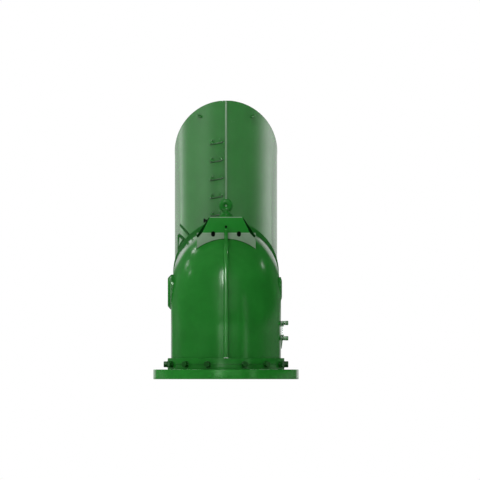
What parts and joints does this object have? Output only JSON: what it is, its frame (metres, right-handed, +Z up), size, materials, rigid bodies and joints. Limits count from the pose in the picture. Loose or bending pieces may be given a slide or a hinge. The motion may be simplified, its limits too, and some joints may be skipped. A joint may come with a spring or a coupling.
{
  "type": "industrial gearbox",
  "caption": "Right-angle bevel-planetary gearbox: bolted base plate, elbow casing with spine rib and lifting eye, fan drum and mitred cooling-air stack behind.",
  "frame": {"origin": "centre of the output shaft's flange face, on the output axis; the base plate's underside is 10 mm below it", "axes": "+Z up along the output axis, +Y from the casing's spine rib towards the stack and the input coupling, +X to the right seen from the rib side"},
  "size_m": [2.02, 3.79, 3.87],
  "materials": {
    "green_casing_paint": "gloss machinery enamel over a casting",
    "green_fabrication_paint": "semi-gloss enamel on rolled plate and bar",
    "grey_green_paint": "worn grey-green coat",
    "machined_steel": "machined",
    "bearing_steel": "ground",
    "primed_iron": "grey primer",
    "gauge_glass": "clear",
    "black_plastic": "matte",
    "seal_rubber": "matte",
    "fan_alloy": "as cast"
  },
  "bodies": {
    "frame": {"base_plate": "green_casing_paint", "clamp_collar": "green_casing_paint", "collar_bolts": "green_fabrication_paint", "gear_casing": "green_casing_paint", "left_inspection_cover": "green_casing_paint", "right_inspection_cover": "green_casing_paint", "spine_rib": "green_casing_paint", "saddle_plate": "grey_green_paint", "lifting_hood": "green_casing_paint", "eye_washer": "green_fabrication_paint", "breather": "black_plastic", "gauge_cock_upper": "green_fabrication_paint", "gauge_cock_lower": "green_fabrication_paint", "sight_glass": "gauge_glass", "drain_plug": "machined_steel", "air_drum": "green_fabrication_paint", "stop_bracket": "green_fabrication_paint", "stack_tube": "green_fabrication_paint", "stack_outlet": "green_fabrication_paint", "stack_strip": "grey_green_paint", "step_iron_1": "green_fabrication_paint", "step_iron_2": "green_fabrication_paint", "step_iron_3": "green_fabrication_paint", "step_iron_4": "green_fabrication_paint", "step_iron_5": "green_fabrication_paint", "stack_lug_left": "green_fabrication_paint", "stack_lug_right": "green_fabrication_paint", "rear_stand": "green_fabrication_paint", "input_bearing_housing": "primed_iron", "input_bearing_front": "bearing_steel", "input_bearing_rear": "bearing_steel", "input_seal": "seal_rubber", "rear_bearing_housing": "primed_iron", "tail_bearing": "bearing_steel", "shaft_deck": "primed_iron", "deck_bearing_lower": "bearing_steel", "deck_bearing_upper": "bearing_steel", "ring_gear": "machined_steel", "output_bearing_housing": "primed_iron", "output_bearing_lower": "bearing_steel", "output_bearing_upper": "bearing_steel", "output_seal": "seal_rubber"},
    "output": {"planet_carrier": "machined_steel", "planet_pin_1": "machined_steel", "planet_pin_2": "machined_steel", "planet_pin_3": "machined_steel", "output_shaft": "machined_steel"},
    "sun": {"sun_pinion_shaft": "machined_steel", "bevel_wheel": "machined_steel"},
    "planet_1": {"planet_gear_1": "machined_steel"},
    "planet_2": {"planet_gear_2": "machined_steel"},
    "planet_3": {"planet_gear_3": "machined_steel"},
    "input": {"input_shaft": "machined_steel", "bevel_pinion": "machined_steel", "fan_impeller": "fan_alloy", "coupling_hub": "machined_steel"},
    "shutter": {"shutter_ring": "green_fabrication_paint"},
    "eye": {"lifting_eye": "green_fabrication_paint"},
    "handle_upper": {"gauge_handle_upper": "green_fabrication_paint"},
    "handle_lower": {"gauge_handle_lower": "green_fabrication_paint"}
  },
  "joints": [
    {"name": "output_spin", "type": "hinge", "parent": "frame", "child": "output", "pos_m": [0, 0, 0], "axis": [0, 0, 1], "continuous": true},
    {"name": "sun_spin", "type": "hinge", "parent": "frame", "child": "sun", "pos_m": [0, 0, 0], "axis": [0, 0, 1], "continuous": true},
    {"name": "planet_1_spin", "type": "hinge", "parent": "output", "child": "planet_1", "pos_m": [0, 0.3375, 0.42], "axis": [0, 0, 1], "continuous": true},
    {"name": "planet_2_spin", "type": "hinge", "parent": "output", "child": "planet_2", "pos_m": [-0.29228, -0.16875, 0.42], "axis": [0, 0, 1], "continuous": true},
    {"name": "planet_3_spin", "type": "hinge", "parent": "output", "child": "planet_3", "pos_m": [0.29228, -0.16875, 0.42], "axis": [0, 0, 1], "continuous": true},
    {"name": "input_spin", "type": "hinge", "parent": "frame", "child": "input", "pos_m": [0, 0, 1.398], "axis": [0, 1, 0], "continuous": true},
    {"name": "shutter_turn", "type": "hinge", "parent": "frame", "child": "shutter", "pos_m": [0, 0.987, 1.398], "axis": [0, 1, 0], "range_deg": [-38, 0]},
    {"name": "eye_swivel", "type": "hinge", "parent": "frame", "child": "eye", "pos_m": [0, 0.15, 2.3], "axis": [0, 0, 1], "continuous": true},
    {"name": "upper_cock_turn", "type": "hinge", "parent": "frame", "child": "handle_upper", "pos_m": [0.846, 0, 0.771], "axis": [1, 0, 0], "range_deg": [0, 90]},
    {"name": "lower_cock_turn", "type": "hinge", "parent": "frame", "child": "handle_lower", "pos_m": [0.846, 0, 0.558], "axis": [1, 0, 0], "range_deg": [0, 90]}
  ],
  "couplings": [
    {"joint": "sun_spin", "follows": "output_spin", "ratio": 4.5},
    {"joint": "planet_1_spin", "follows": "output_spin", "ratio": -2.8},
    {"joint": "planet_2_spin", "follows": "output_spin", "ratio": -2.8},
    {"joint": "planet_3_spin", "follows": "output_spin", "ratio": -2.8},
    {"joint": "input_spin", "follows": "output_spin", "ratio": 11.625}
  ]
}
